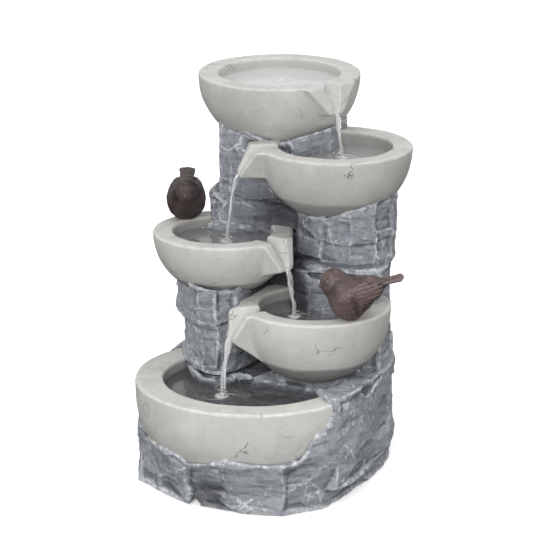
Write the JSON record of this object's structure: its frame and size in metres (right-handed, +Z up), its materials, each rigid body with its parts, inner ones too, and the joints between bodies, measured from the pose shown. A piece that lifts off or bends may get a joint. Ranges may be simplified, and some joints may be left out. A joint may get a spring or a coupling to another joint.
{
  "type": "tiered water fountain",
  "caption": "Garden fountain of cast bowls stepping down a stacked-rock column, spouts pouring bowl to bowl into a basin, with perched birds and a hidden pump.",
  "frame": {"origin": "middle of the underside of the central foot, on the ground", "axes": "+Z up, -Y towards the basin at the front, +X to the right bowls"},
  "size_m": [0.5232, 0.6289, 0.7],
  "materials": {
    "rock": "matte, chiselled slate with white dry-brushed edges",
    "bowl_stone": "matte warm concrete grey with pits and hairline cracks",
    "bird_resin": "dark reddish-brown cast resin, satin",
    "steel": "satin",
    "brass_insert": "turned",
    "rubber_black": "matte",
    "hose_rubber": "smooth matte",
    "pump_plastic": "moulded, fine grain",
    "dial_plastic": "moulded",
    "impeller_plastic": "moulded",
    "magnet": "sintered ferrite, matte",
    "bush_ceramic": "ground"
  },
  "bodies": {
    "fountain": {"base_rock": "rock", "left_pier": "rock", "right_pier": "rock", "spine_rock": "rock", "upper_column": "rock", "basin": "bowl_stone", "top_bowl": "bowl_stone", "upper_right_bowl": "bowl_stone", "left_bowl": "bowl_stone", "lower_right_bowl": "bowl_stone", "left_bird": "bird_resin", "right_bird": "bird_resin", "bird_pegs": "steel", "base_feet": "rubber_black", "door_inserts": "brass_insert", "pump_body": "pump_plastic", "pump_cover": "pump_plastic", "shaft_bushes": "bush_ceramic", "suction_cups": "rubber_black", "pump_cord_gland": "rubber_black", "outlet_adaptor": "pump_plastic", "riser_hose": "hose_rubber", "hose_clamps": "steel", "outlet_fitting": "pump_plastic", "outlet_nut": "pump_plastic", "outlet_washer": "rubber_black", "return_strainer": "pump_plastic", "cord_gland": "rubber_black", "drain_bush": "pump_plastic"},
    "service_door": {"access_door": "rock", "door_gasket": "rubber_black", "door_screws": "steel"},
    "rotor": {"impeller": "impeller_plastic", "rotor_magnet": "magnet", "rotor_shaft": "steel"},
    "dial": {"flow_dial": "dial_plastic"},
    "plug": {"drain_plug": "rubber_black"}
  },
  "joints": [
    {"name": "service_door_lift_off", "type": "slide", "parent": "fountain", "child": "service_door", "axis": [0, 1, 0], "range_m": [0, 0.12]},
    {"name": "rotor_spin", "type": "hinge", "parent": "fountain", "child": "rotor", "pos_m": [-0.063, 0.165, 0.112], "axis": [0, 1, 0], "continuous": true},
    {"name": "flow_dial_turn", "type": "hinge", "parent": "fountain", "child": "dial", "pos_m": [-0.063, 0.138, 0.112], "axis": [0, 1, 0], "range_deg": [0, 45]},
    {"name": "drain_plug_pull", "type": "slide", "parent": "fountain", "child": "plug", "axis": [0, 1, 0], "range_m": [0, 0.06]}
  ]
}
